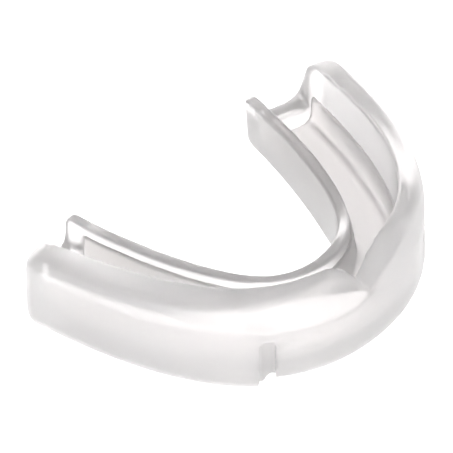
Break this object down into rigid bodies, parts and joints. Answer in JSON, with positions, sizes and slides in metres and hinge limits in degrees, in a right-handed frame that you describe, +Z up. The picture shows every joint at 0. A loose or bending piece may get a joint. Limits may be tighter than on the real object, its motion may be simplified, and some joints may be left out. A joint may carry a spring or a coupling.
{
  "type": "boil-and-bite mouthguard",
  "caption": "Clear mouthguard for the upper teeth: a U-shaped tray with a tall outer wall, a low inner wall, a soft lined tooth trough and a notch at the front.",
  "frame": {"origin": "centre of the bounding box on the plane that the molar sections' underside rests on", "axes": "+Z up out of the tooth trough, +X across the arch from arm to arm, incisors towards -Y, arm ends towards +Y"},
  "size_m": [0.0614, 0.043, 0.0169],
  "materials": {
    "tray": "clear milky EVA copolymer, smooth moulded surface with a soft gloss",
    "liner": "softer clear EVA copolymer, slightly cloudier and more satin"
  },
  "bodies": {
    "root": {"tray_shell": "tray", "fit_liner": "liner"}
  },
  "joints": []
}
